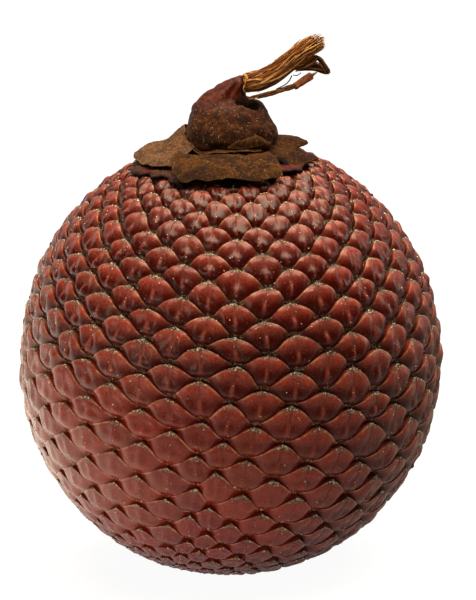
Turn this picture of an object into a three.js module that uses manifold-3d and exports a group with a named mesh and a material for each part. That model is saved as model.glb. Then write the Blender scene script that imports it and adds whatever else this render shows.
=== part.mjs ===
// A whole buriti fruit, the scaly fruit of the moriche palm Mauritia flexuosa, as picked.
// Millimetres, +Z up. The origin is the middle of the small flat spot that the fruit rests on, and its front faces -Y.
// The body is one solid covered in overlapping rhombic scales, whose tips point up to the dried calyx on its crown.
// The calyx is a disc, three torn lobes and a leathery cup, drawn up into a horn that holds the frayed stalk fibres.

import * as THREE from 'three';
import { mergeVertices } from 'three/addons/utils/BufferGeometryUtils.js';
import Module from 'manifold-3d';

// Fruit body, measured to the tops of its scales.
const fruitRadius = 25.0;
const fruitHalfHeight = 26.2;
const centreHeight = 25.4; // of the body's middle over the flat spot, which cuts 0.8 mm off the bottom
const scaleRelief = 0.7; // from the seams between the scales to the tops of their two lobes
const seamDepth = 0.55; // of the seams under the fruit's outer surface

// Scale lattice: an even column's tips lie between those of the odd columns beside it.
const columns = 42;
const columnAngle = 360 / columns;
const firstColumnAngle = -0.6; // degrees to the right of the front
const topTipLatitude = 67.2;
const lastTipLatitude = -80;
const crownLean = 2.6; // degrees that the lattice's upper pole leans to +X
const baseLean = 11.6; // further degrees that its lower pole leans to -X
const smoothCrown = 11.4; // distance from the axis up to which the calyx hides the body, which is smooth there
const fullScales = 13;

// Crown: the calyx sits in a shallow hollow.
const crownSink = 0.7;
const crownSinkInner = 7;
const crownSinkOuter = 11;
const gap = 0.3; // between pieces that touch

// Calyx.
const discRadius = 11.3;
const discThickness = 0.4;
const discUnder = -seamDepth + gap + 0.05; // heights over the fruit's outer surface
const lobeThickness = 0.4;
const lobeUnder = discUnder + discThickness + gap;
const cupCentreX = 1.1;
const cupRadius = 5.7;

// Stalk fibres.
const bundleRadius = 0.95;
const sideStrandRadius = 0.36;
const lowerStrandRadius = 0.22;
const threadRadius = 0.11;

const radians = THREE.MathUtils.degToRad;
const { lerp, smoothstep } = THREE.MathUtils;

// ---------------------------------------------------------------------------------------------- shared helpers

function mesh(name, geometry, color, roughness) {
  const piece = new THREE.Mesh(geometry, new THREE.MeshStandardMaterial({ color, roughness, metalness: 0 }));
  piece.name = name;
  return piece;
}

// How far the crown's hollow lowers a layer at a distance from the fruit's axis.
function hollow(distance) {
  return crownSink * (1 - smoothstep(distance, crownSinkInner, crownSinkOuter));
}

// Height of the fruit's outer surface at (x, y), raised by `over`.
function crownHeight(x, y, over) {
  const distance = Math.hypot(x, y);
  const share = Math.min(1, distance / (fruitRadius + over));
  return centreHeight + (fruitHalfHeight + over) * Math.sqrt(1 - share * share) - hollow(distance);
}

// A thin closed sheet. place(out, around, side) gives the point for shares from 0 to 1; side is 0 under and 1 on top.
function sheet(outSteps, aroundSteps, place) {
  const geometry = new THREE.BoxGeometry(1, 1, 1, outSteps, aroundSteps, 1);
  const position = geometry.getAttribute('position');
  for (let i = 0; i < position.count; i += 1) {
    const point = place(position.getX(i) + 0.5, position.getY(i) + 0.5, position.getZ(i) + 0.5);
    position.setXYZ(i, point.x, point.y, point.z);
  }
  return geometry;
}

// A round or fluted section extruded along a curve through the points.
function strand(points, radius, sides, steps, flute = 0) {
  const section = new THREE.Shape();
  for (let i = 0; i < sides; i += 1) {
    const angle = (i / sides) * 2 * Math.PI;
    const reach = radius * (1 + (i % 2 ? flute : -flute));
    const corner = [reach * Math.cos(angle), reach * Math.sin(angle)];
    if (i === 0) section.moveTo(...corner);
    else section.lineTo(...corner);
  }
  section.closePath();
  const extrudePath = new THREE.CatmullRomCurve3(points.map((point) => new THREE.Vector3(...point)));
  return new THREE.ExtrudeGeometry(section, { steps, bevelEnabled: false, extrudePath });
}

// ---------------------------------------------------------------------------------------------- fruit body

// Latitude step between the tips of a column at a latitude. Near the lower pole the scales shrink as they narrow.
function rowPitch(latitude) {
  const onTheSides = 9.55 - 0.031 * latitude - 0.0001 * latitude * latitude;
  const nearThePole = 0.9 * 2 * columnAngle * Math.cos(radians(latitude));
  return Math.min(onTheSides, nearThePole);
}

// Latitudes of the lattice's rings, half a row apart, from the crown down.
function ringLatitudes() {
  const latitudes = [topTipLatitude];
  while (latitudes[latitudes.length - 1] > lastTipLatitude) {
    const last = latitudes[latitudes.length - 1];
    latitudes.push(last - rowPitch(last - rowPitch(last) / 4) / 2);
  }
  return latitudes;
}

// The point of the body at a lattice latitude and longitude, `over` its outer surface.
function bodyPoint(latitude, longitude, over) {
  const up = Math.sin(radians(latitude));
  const out = Math.cos(radians(latitude));
  const x = out * Math.sin(radians(longitude));
  const y = -out * Math.cos(radians(longitude));
  const lean = radians(crownLean + baseLean * (1 - up) / 2);
  const leanX = x * Math.cos(lean) + up * Math.sin(lean);
  const leanZ = up * Math.cos(lean) - x * Math.sin(lean);
  const point = new THREE.Vector3(
    (fruitRadius + over) * leanX,
    (fruitRadius + over) * y,
    centreHeight + (fruitHalfHeight + over) * leanZ,
  );
  if (leanZ > 0) point.z -= hollow(Math.hypot(point.x, point.y));
  return point;
}

// Closed surface of rhombic scales: each has corners at its tip, left, right and base, and a raised lobe on each side.
function scaledSurface() {
  const latitudes = ringLatitudes();
  const rings = latitudes.length;
  const positions = [];
  const triangles = [];
  const nodes = new Map();
  const longitude = (column) => firstColumnAngle + column * columnAngle;
  const add = (point) => positions.push(point.x, point.y, point.z) / 3 - 1;

  const node = (column, ring) => {
    const wrapped = (column + columns) % columns;
    const key = ring * columns + wrapped;
    if (!nodes.has(key)) nodes.set(key, add(bodyPoint(latitudes[ring], longitude(wrapped), -seamDepth)));
    return nodes.get(key);
  };
  // A lobe's top lies between the scale's middle and its tip, to the left (-1) or to the right (1).
  const lobe = (column, ring, side) => {
    const latitude = lerp(latitudes[ring], latitudes[ring + 2], 0.34);
    const offset = longitude(column) + side * 0.3 * columnAngle;
    const seam = bodyPoint(latitude, offset, -seamDepth);
    const shown = seam.z < centreHeight ? 1 : smoothstep(Math.hypot(seam.x, seam.y), smoothCrown, fullScales);
    return add(bodyPoint(latitude, offset, scaleRelief * shown - seamDepth));
  };

  for (let ring = 0; ring + 2 < rings; ring += 1) {
    for (let column = ring % 2; column < columns; column += 2) {
      const tip = node(column, ring);
      const left = node(column - 1, ring + 1);
      const right = node(column + 1, ring + 1);
      const base = node(column, ring + 2);
      const leftLobe = lobe(column, ring, -1);
      const rightLobe = lobe(column, ring, 1);
      triangles.push(tip, left, leftLobe, left, base, leftLobe, base, rightLobe, leftLobe);
      triangles.push(base, right, rightLobe, right, tip, rightLobe, tip, leftLobe, rightLobe);
    }
  }

  const top = add(bodyPoint(90, 0, -seamDepth));
  const bottom = add(bodyPoint(-90, 0, -seamDepth));
  for (let column = 0; column < columns; column += 1) {
    const next = column + 1;
    triangles.push(top, node(column, column % 2), node(next, next % 2));
    const [low, nextLow] = [column, next].map((each) => node(each, rings - 1 - ((rings - 1 + each) % 2)));
    triangles.push(bottom, nextLow, low);
  }

  const geometry = new THREE.BufferGeometry();
  geometry.setAttribute('position', new THREE.Float32BufferAttribute(positions, 3));
  geometry.setIndex(triangles);
  return geometry;
}

function toSolid(wasm, geometry) {
  const bare = geometry.clone();
  bare.deleteAttribute('normal');
  bare.deleteAttribute('uv');
  const merged = mergeVertices(bare);
  return new wasm.Manifold(new wasm.Mesh({
    numProp: 3,
    vertProperties: new Float32Array(merged.getAttribute('position').array),
    triVerts: new Uint32Array(merged.getIndex().array),
  }));
}

function toGeometry(solid) {
  const { vertProperties, triVerts } = solid.getMesh();
  const geometry = new THREE.BufferGeometry();
  geometry.setAttribute('position', new THREE.Float32BufferAttribute(vertProperties, 3));
  geometry.setIndex(Array.from(triVerts));
  return geometry;
}

// The scaly body, cut off level at the flat spot.
function fruitBody(wasm) {
  const below = new THREE.BoxGeometry(4 * fruitRadius, 4 * fruitRadius, fruitRadius);
  below.translate(0, 0, -fruitRadius / 2);
  return toGeometry(toSolid(wasm, scaledSurface()).subtract(toSolid(wasm, below)));
}

// ---------------------------------------------------------------------------------------------- calyx

// The thin disc under the lobes, with a ragged rim.
function perianthDisc() {
  const steps = [0, 3.5, 7, 9.5, discRadius];
  const points = [
    ...steps.map((out) => new THREE.Vector2(out, discUnder)),
    ...steps.reverse().map((out) => new THREE.Vector2(out, discUnder + discThickness)),
  ];
  const geometry = new THREE.LatheGeometry(points, 44);
  geometry.rotateX(Math.PI / 2);
  const position = geometry.getAttribute('position');
  for (let i = 0; i < position.count; i += 1) {
    const angle = Math.atan2(position.getY(i), position.getX(i));
    const share = Math.hypot(position.getX(i), position.getY(i)) / discRadius;
    const ragged = 1 + share ** 4 * (0.02 * Math.sin(5 * angle) + 0.015 * Math.sin(13 * angle + 1));
    const x = position.getX(i) * ragged;
    const y = position.getY(i) * ragged;
    position.setXYZ(i, x, y, crownHeight(x, y, position.getZ(i)));
  }
  return geometry;
}

// A lobe spread over the disc, between two angles, from the cup's foot out to reach(angle). rise(out, around) lifts it.
function calyxLobe(fromAngle, toAngle, aroundSteps, reach, rise) {
  return sheet(4, aroundSteps, (out, around, side) => {
    const angle = lerp(fromAngle, toAngle, around);
    const inner = new THREE.Vector2(Math.cos(radians(angle)), Math.sin(radians(angle)));
    inner.multiplyScalar(cupRadius + gap).x += cupCentreX;
    const outer = new THREE.Vector2(Math.cos(radians(angle)), Math.sin(radians(angle)));
    outer.multiplyScalar(reach(angle, around));
    const spot = inner.lerp(outer, out);
    const over = lobeUnder + side * lobeThickness + rise(out, around);
    return new THREE.Vector3(spot.x, spot.y, crownHeight(spot.x, spot.y, over));
  });
}

// Rounds a lobe's reach off towards its two ends.
function roundedReach(reach, around, power) {
  return reach - 3 * Math.abs(2 * around - 1) ** power;
}

function frontLobe() {
  const reach = (angle, around) => {
    const torn = 0.28 * Math.sin(radians(14 * angle)) + 0.15 * Math.sin(radians(31 * angle));
    return roundedReach(12.0 + torn, around, 10);
  };
  const rise = (out, around) => 0.7 * out * (1 - around) ** 3 + 0.12 * out * Math.sin(9 * around);
  return calyxLobe(-128, -53, 25, reach, rise);
}

// The left lobe climbs the cup's side.
function leftLobe() {
  const reach = (angle, around) => roundedReach(10.7 + 0.2 * Math.sin(radians(11 * angle)), around, 6);
  const rise = (out, around) => {
    const middle = Math.sin(Math.PI * around);
    return (0.5 + 1.5 * middle) * (1 - out) ** 2 + 0.5 * out * middle;
  };
  return calyxLobe(102, 222, 30, reach, rise);
}

// The right lobe has a notch near its front end, with a finger in front of it.
function rightLobe() {
  const reach = (angle, around) => {
    const notch = 1.3 * Math.max(0, 1 - Math.abs(angle + 3) / 3.5);
    const finger = 1.0 * Math.max(0, 1 - Math.abs(angle + 9) / 5);
    return roundedReach(10.5 - notch + finger + 0.15 * Math.sin(radians(13 * angle)), around, 6);
  };
  const rise = (out, around) => 0.4 * (1 - out) ** 2 + 0.5 * out * Math.sin(Math.PI * around);
  return calyxLobe(-42, 78, 60, reach, rise);
}

// The torn ridge between the cup and the front lobe.
function calyxCollar() {
  const foot = lobeUnder + lobeThickness + gap;
  return sheet(1, 14, (up, around, side) => {
    const angle = radians(lerp(-60, -138, around));
    const distance = cupRadius + 0.25 + 0.35 * side + 0.15 * up;
    const x = cupCentreX + distance * Math.cos(angle);
    const y = distance * Math.sin(angle);
    return new THREE.Vector3(x, y, crownHeight(x, y, foot + 0.55 * up * Math.sin(Math.PI * (0.1 + 0.8 * around))));
  });
}

// Rings of the cup from its underside up: radius, height over the crown, and how far the ring's middle leans to +X.
const cupRings = [
  [0, -0.15, 1.1],
  [3, -0.15, 1.1],
  [5.3, -0.15, 1.1],
  [cupRadius, 0.25, 1.1],
  [5.6, 1.1, 1.1],
  [5.1, 2.2, 0.9],
  [4.6, 3.4, 0.75],
  [3.9, 4.3, 0.4],
  [2.75, 4.8, -0.15],
  [2.3, 5.5, 0.5],
  [1.9, 6.2, 1.0],
  [1.25, 7.1, 1.7],
  [0.6, 7.6, 2.2],
  [0, 7.8, 2.4],
];

// The leathery hat-shaped cup, drawn up into a horn that leans to +X.
function calyxCup() {
  const points = cupRings.map(([radius, height]) => new THREE.Vector2(radius, height));
  const geometry = new THREE.LatheGeometry(points, 24);
  geometry.rotateX(Math.PI / 2);
  const position = geometry.getAttribute('position');
  const crownTop = centreHeight + fruitHalfHeight;
  for (let i = 0; i < position.count; i += 1) {
    const height = position.getZ(i);
    const x = position.getX(i) + cupRings[i % cupRings.length][2];
    const y = position.getY(i);
    const fall = crownTop - crownHeight(x, y, 0) - crownSink;
    position.setXYZ(i, x, y, crownTop + height - fall * (1 - smoothstep(height, 0, 3)));
  }
  return geometry;
}

// A small loose flap low on the cup's front right.
function foldFlap() {
  const crownTop = centreHeight + fruitHalfHeight;
  return sheet(2, 8, (up, around, side) => {
    const angle = radians(lerp(-42, -88, around));
    const distance = cupRadius + gap + 0.1 - 0.45 * up + 0.35 * side;
    const height = 0.75 + 1.1 * up * Math.sin(Math.PI * (0.85 - 0.75 * around));
    return new THREE.Vector3(
      cupCentreX + distance * Math.cos(angle),
      distance * Math.sin(angle),
      crownTop + height,
    );
  });
}

// ---------------------------------------------------------------------------------------------- stalk fibres

function stalkFibres() {
  const route = [[3.3, 0, 58.4], [5, 0, 58.5], [7.8, -0.2, 59.8], [9.6, -0.3, 61.6], [12.4, -0.2, 63.3]];
  return strand(route, bundleRadius, 16, 10, 0.1);
}

function sideStrand() {
  const route = [[9.4, -0.5, 59.35], [10.2, -0.4, 60], [11.2, -0.3, 60.6], [12.1, -0.3, 60.3], [12.8, -0.4, 59.2]];
  return strand(route, sideStrandRadius, 8, 8);
}

function lowerStrand() {
  const route = [[3.4, -1, 56.9], [4.5, -1, 56.9], [5.7, -1, 57.1], [7.7, -1, 57.6]];
  return strand(route, lowerStrandRadius, 6, 6);
}

// A flat pointed flake of stalk skin, which carries the lower strand on towards the hooked one.
function barkFlake() {
  const [length, halfWidth, thickness] = [3.4, 0.5, 0.3];
  const start = [8.1, -1, 57.75];
  const slope = 31; // degrees upwards
  const outline = new THREE.Shape();
  outline.moveTo(0, 0.15);
  outline.lineTo(0, -0.15);
  outline.lineTo(0.3 * length, -halfWidth);
  outline.lineTo(0.85 * length, -halfWidth);
  outline.lineTo(length, 0);
  outline.lineTo(0.8 * length, halfWidth);
  outline.lineTo(0.25 * length, halfWidth);
  outline.closePath();
  const geometry = new THREE.ExtrudeGeometry(outline, { depth: thickness, bevelEnabled: false });
  geometry.translate(0, 0, -thickness / 2);
  geometry.rotateX(Math.PI / 2);
  geometry.rotateY(radians(-slope));
  geometry.translate(...start);
  return geometry;
}

function stalkThread() {
  return strand([[6.5, -1, 57.7], [7.6, -1, 58.25], [8.6, -0.7, 59.1]], threadRadius, 6, 4);
}

// ---------------------------------------------------------------------------------------------- the fruit

const wasm = await Module();
wasm.setup();

const fruit = new THREE.Group();
fruit.add(mesh('fruit_body', fruitBody(wasm), 0x6e2a1e, 0.35));
fruit.add(mesh('perianth_disc', perianthDisc(), 0x4a211a, 0.8));
fruit.add(mesh('front_lobe', frontLobe(), 0x6b5134, 0.9));
fruit.add(mesh('left_lobe', leftLobe(), 0x6d5234, 0.9));
fruit.add(mesh('right_lobe', rightLobe(), 0x64492f, 0.9));
fruit.add(mesh('calyx_collar', calyxCollar(), 0x5b4430, 0.9));
fruit.add(mesh('calyx_cup', calyxCup(), 0x5a3426, 0.75));
fruit.add(mesh('fold_flap', foldFlap(), 0x65442f, 0.85));
fruit.add(mesh('stalk_fibres', stalkFibres(), 0xa86e34, 0.7));
fruit.add(mesh('side_strand', sideStrand(), 0x9a6430, 0.7));
fruit.add(mesh('lower_strand', lowerStrand(), 0x8f6136, 0.75));
fruit.add(mesh('bark_flake', barkFlake(), 0x9a5128, 0.6));
fruit.add(mesh('stalk_thread', stalkThread(), 0x3b2a20, 0.7));

export default fruit;
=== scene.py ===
"""A whole buriti fruit: the glossy overlapping scales of its body, its dried calyx and its frayed stalk fibres.

Lengths are in millimetres up to make_mesh(), which turns them into metres. The fruit rests on z = 0 and faces -Y.
"""

import itertools
import math

import bmesh
import bpy
import numpy as np
from mathutils import Matrix, Vector


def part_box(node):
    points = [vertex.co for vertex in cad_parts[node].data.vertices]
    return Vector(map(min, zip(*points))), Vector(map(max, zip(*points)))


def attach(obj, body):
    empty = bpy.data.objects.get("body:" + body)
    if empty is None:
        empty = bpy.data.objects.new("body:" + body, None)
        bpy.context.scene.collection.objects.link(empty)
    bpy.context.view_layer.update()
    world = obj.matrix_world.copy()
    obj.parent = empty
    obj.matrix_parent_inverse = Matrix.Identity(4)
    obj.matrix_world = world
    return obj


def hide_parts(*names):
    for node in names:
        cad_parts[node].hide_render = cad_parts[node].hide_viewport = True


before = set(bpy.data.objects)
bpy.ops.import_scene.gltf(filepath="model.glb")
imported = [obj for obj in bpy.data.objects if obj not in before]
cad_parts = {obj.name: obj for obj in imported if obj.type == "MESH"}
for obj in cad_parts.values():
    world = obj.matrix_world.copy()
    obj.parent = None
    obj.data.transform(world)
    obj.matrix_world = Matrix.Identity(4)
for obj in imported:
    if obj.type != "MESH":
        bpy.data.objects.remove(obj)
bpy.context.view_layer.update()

MM = 0.001
rng = np.random.default_rng(7)
NOISE = np.random.default_rng(11).uniform(-1, 1, (32, 32, 32))


def node_box(name):
    """The lowest and highest corners of a CAD node, in millimetres."""
    low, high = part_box(name)
    return np.array(low) / MM, np.array(high) / MM


# ------------------------------------------------------------------------------------------ sizes, from the frame
BODY_LOW, BODY_HIGH = node_box("fruit_body")
RADIUS = (BODY_HIGH[0] - BODY_LOW[0]) / 2 - 0.13  # to the tops of the scales
HALF_HEIGHT = 1.048 * RADIUS
CENTRE_Z = 1.016 * RADIUS

# Scale lattice: an even column's tips lie between those of the odd columns beside it.
COLUMNS = 42
COLUMN_ANGLE = 360 / COLUMNS
FIRST_COLUMN_ANGLE = -0.6
TOP_LATITUDE = 67.2
LAST_LATITUDE = -84
CROWN_LEAN = 2.6
BASE_LEAN = 11.6

# Scale shape.
SEAM_DEPTH = 0.36
SEAM_RISE = 0.4  # how far over RADIUS the seams would run where there is no relief
SCALE_TOP = 0.63  # how far a scale rises over RADIUS
SCALE_GRID = np.array([0, 0.07, 0.17, 0.29, 0.42, 0.55, 0.68, 0.8, 0.9, 0.965, 1.0])
VALLEY_PULL = 0.45  # how far the grid's inner lines are drawn in to the valley between a scale's lobes
BLUNTNESS = 0.03  # how far a scale's upper edges bulge beside its tip and draw in beside its corners
EDGE_BOW = 0.045  # and how far they bulge all along
LIP_SHARE = 0.3
NODE_PIT = 0.8  # how much deeper the seams run where four scales meet
NODE_PIT_WIDTH = 0.26
OVERHANG = 0.015
ARCH = 0.28  # how far the scales of the lower half fall away on both sides of their keel
LUMPS = 0.16  # how uneven the scales are, as a share of their height

# Grit on each scale: from and to how far up it, how far it spreads sideways, and how many grains.
GRIT_PLACES = ((0.84, 1.0, 0.2, 15), (0.0, 0.16, 0.16, 10), (0.16, 0.5, 0.05, 3), (0.1, 1.0, 0.3, 11))
GRIT_SIZES = (0.035, 0.1)

CROWN_SINK = 0.7
CROWN_SINK_INNER = 7
CROWN_SINK_OUTER = 11
CALYX_EDGE = (9.8, 11.2)  # distances from the axis between which the scales rise from under the calyx
LOBE_SHADE = 0.7  # how much farther out they do so in front, under the front lobe


# ------------------------------------------------------------------------------------------ mesh helpers
def make_mesh(name, vertices, faces, attributes=None, material=None, recalculate=False):
    """A smooth mesh object from millimetre points. recalculate turns every face outwards."""
    mesh = bpy.data.meshes.new(name)
    mesh.from_pydata((np.asarray(vertices, float) * MM).tolist(), [], [tuple(map(int, face)) for face in faces])
    mesh.validate()
    for key, values in (attributes or {}).items():
        layer = mesh.attributes.new(key, "FLOAT", "POINT")
        layer.data.foreach_set("value", np.asarray(values, np.float32).ravel())
    if recalculate:
        work = bmesh.new()
        work.from_mesh(mesh)
        bmesh.ops.recalc_face_normals(work, faces=work.faces)
        work.to_mesh(mesh)
        work.free()
    mesh.polygons.foreach_set("use_smooth", [True] * len(mesh.polygons))
    mesh.update()
    piece = bpy.data.objects.new(name, mesh)
    bpy.context.scene.collection.objects.link(piece)
    if material:
        mesh.materials.append(material)
    return piece


def smoothstep(x, low, high):
    """0 at low, 1 at high. high may be the lower one."""
    share = np.clip((np.asarray(x, float) - low) / (high - low), 0, 1)
    return share * share * (3 - 2 * share)


def hollow(distance):
    return CROWN_SINK * (1 - smoothstep(distance, CROWN_SINK_INNER, CROWN_SINK_OUTER))


def at_the_front(x, y):
    """1 straight in front of the axis, 0 at its sides and behind it."""
    return np.exp(-((np.arctan2(x, -y) / 0.62) ** 4))


def crown_height(x, y, over=0.0):
    """Height of the fruit's outer surface under the calyx, raised by over."""
    distance = np.hypot(x, y)
    share = np.minimum(1, distance / (RADIUS + over))
    return CENTRE_Z + (HALF_HEIGHT + over) * np.sqrt(1 - share**2) - hollow(distance)


def noise(points, size, octaves=3):
    """Smooth noise around 0 at millimetre points. size is that of its largest features."""
    total = 0.0
    for octave in range(octaves):
        place = np.asarray(points) / size * 2**octave + 7.3 * octave + 50
        cell = np.floor(place).astype(int)
        share = place - cell
        share = share * share * (3 - 2 * share)
        for corner in itertools.product((0, 1), repeat=3):
            x, y, z = np.moveaxis((cell + corner) % len(NOISE), -1, 0)
            total = total + 0.5**octave * NOISE[x, y, z] * np.prod(np.where(corner, share, 1 - share), -1)
    return total


def refine(points, count):
    """count points along a smooth curve through the given ones. They may be rows of a net."""
    points = np.asarray(points, float)
    place = np.linspace(0, len(points) - 1, count)
    i = np.minimum(place.astype(int), len(points) - 2)
    f = (place - i).reshape((-1,) + (1,) * (points.ndim - 1))
    before, a, b = points[np.maximum(i - 1, 0)], points[i], points[i + 1]
    after = points[np.minimum(i + 2, len(points) - 1)]
    curve = (2 * before - 5 * a + 4 * b - after) * f**2 + (3 * a - before - 3 * b + after) * f**3
    return 0.5 * (2 * a + (b - before) * f + curve)


def near_line(points, line, width):
    """1 along a line through the given points, falling off around it."""
    line = refine(line, 24)
    distance = np.linalg.norm(points[..., None, :] - line, axis=-1).min(-1)
    return np.exp(-((distance / width) ** 2))


def grid_normals(grid):
    """Unit normals of a (rows, columns, 3) grid of points."""
    down, across = np.gradient(grid, axis=0), np.gradient(grid, axis=1)
    normals = np.cross(down, across)
    return normals / np.maximum(np.linalg.norm(normals, axis=-1, keepdims=True), 1e-9)


def grid_faces(rows, columns, start=0, wrap=False):
    """Quads between the points of a grid. wrap joins the last column to the first."""
    faces = []
    for i in range(rows - 1):
        for j in range(columns if wrap else columns - 1):
            k = (j + 1) % columns
            faces.append([start + i * columns + j, start + i * columns + k,
                          start + (i + 1) * columns + k, start + (i + 1) * columns + j])
    return faces


def crumpled(points, normals, layers):
    """Points pushed in and out along their normals by layers of noise, each (size, amount)."""
    return points + normals * sum(amount * noise(points, size, 2) for size, amount in layers)[..., None]


# ------------------------------------------------------------------------------------------ fruit body
def row_pitch(latitude):
    on_the_sides = 9.55 - 0.031 * latitude - 0.0001 * latitude * latitude
    near_the_pole = 0.9 * 2 * COLUMN_ANGLE * math.cos(math.radians(latitude))
    return min(on_the_sides, near_the_pole)


def ring_latitudes():
    latitudes = [TOP_LATITUDE]
    while latitudes[-1] > LAST_LATITUDE:
        last = latitudes[-1]
        latitudes.append(last - row_pitch(last - row_pitch(last) / 4) / 2)
    return np.array(latitudes)


def drift(latitude, longitude):
    """The fruit's own irregularity: rows that sag at the front, and columns that crowd together below them."""
    angle = (longitude + 180) % 360 - 180
    sag = 1.5 * np.exp(-((angle / 24) ** 2) - ((latitude - 28) / 15) ** 2)
    crowd = 2.6 * np.tanh((angle + 4) / 9) * np.exp(-((angle / 55) ** 2)) * smoothstep(latitude, 10, -12)
    return latitude - sag, longitude - crowd * smoothstep(latitude, -75, -50)


def body_points(latitude, longitude, over):
    """Points over the fruit's outer surface, from lattice latitudes and longitudes in degrees."""
    latitude, longitude = drift(latitude, longitude)
    latitude, longitude = np.radians(latitude), np.radians(longitude)
    up, out = np.sin(latitude), np.cos(latitude)
    x, y = out * np.sin(longitude), -out * np.cos(longitude)
    lean = np.radians(CROWN_LEAN + BASE_LEAN * (1 - up) / 2)
    lean_x = x * np.cos(lean) + up * np.sin(lean)
    lean_z = up * np.cos(lean) - x * np.sin(lean)
    points = np.stack([(RADIUS + over) * lean_x, (RADIUS + over) * y, CENTRE_Z + (HALF_HEIGHT + over) * lean_z], -1)
    sink = hollow(np.hypot(points[..., 0], points[..., 1])) * (lean_z > 0)
    points[..., 2] -= sink
    return points


def edge_bend(share, relief):
    """How far an edge of the lattice bends outwards, share being from 0 at a scale's corner to 1 at its tip."""
    return EDGE_BOW * relief * np.sin(np.pi * share) - BLUNTNESS * (1.3 * relief - 0.3) * np.sin(2 * np.pi * share)


def scale_dome(s, t, relief=1.0):
    """A dome over the rhombus that starts at its lower edges and rolls over to the lip at its upper ones."""
    s, t = np.clip(s, 0, 1), np.clip(t, 0, 1)
    steepness = 1.3 + 0.9 * relief
    emerge = (1 - (1 - s) ** steepness) * (1 - (1 - t) ** steepness)
    fall = 1 - LIP_SHARE * relief**1.4
    roll = (1 - fall * s**2.6) * (1 - fall * t**2.6)
    return emerge * roll


def node_pits(s, t, corners):
    """The pits where four scales meet: 1 at the given corners of a patch, falling off around them."""
    return sum(np.exp(-((s - a) ** 2 + (t - b) ** 2) / NODE_PIT_WIDTH**2) for a, b in corners)


def scale_heights(s, t, look, relief):
    """Height of a scale over the seams. s and t run from its base corner to its right and left corners."""
    up, across = (s + t) / 2, s - t - look["offset"]
    window = np.sin(np.pi * np.clip(up, 0, 1) ** 0.95) ** 0.5
    crease = look["crease"] * np.exp(-np.abs(across) / (0.17 - 0.08 * up))
    groove = look["valley"] * np.exp(-((across / (0.48 - 0.26 * up)) ** 2)) + crease
    keeled = smoothstep(relief, 0.75, 0.45)
    dents = np.exp(-(((np.abs(across) - 0.21) / 0.13) ** 2) - ((up - 0.38 - 0.3 * keeled) / 0.21) ** 2)
    fold = groove * (1 - keeled) * smoothstep(up, 0.28, 0.55) + (1.3 + 0.7 * keeled) * look["valley"] * dents
    valley = 1 - window * np.minimum(0.88, fold * (1.8 - 0.8 * relief))
    fan = across / (2.3 - 2 * up)
    ribs = 1 + look["ribs"] * np.cos(2 * np.pi * look["rib_count"] * fan + look["phase"]) * window
    tilt = 1 + look["tilt"] * across
    return look["height"] * scale_dome(s, t, relief) / DOME_TOP * valley * ribs * tilt


DOME_TOP = max(scale_dome(x, x) for x in np.linspace(0, 1, 101))


def scale_look():
    """The random differences between one scale and the next."""
    return {
        "height": rng.uniform(0.85, 1.12),
        "valley": rng.uniform(0.38, 0.7),
        "crease": rng.uniform(0.18, 0.36),
        "offset": rng.normal(0, 0.06),
        "ribs": rng.uniform(0.0, 0.03),
        "rib_count": rng.uniform(2.5, 5.0),
        "phase": rng.uniform(0, 2 * np.pi),
        "tilt": rng.normal(0, 0.06),
    }


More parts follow.
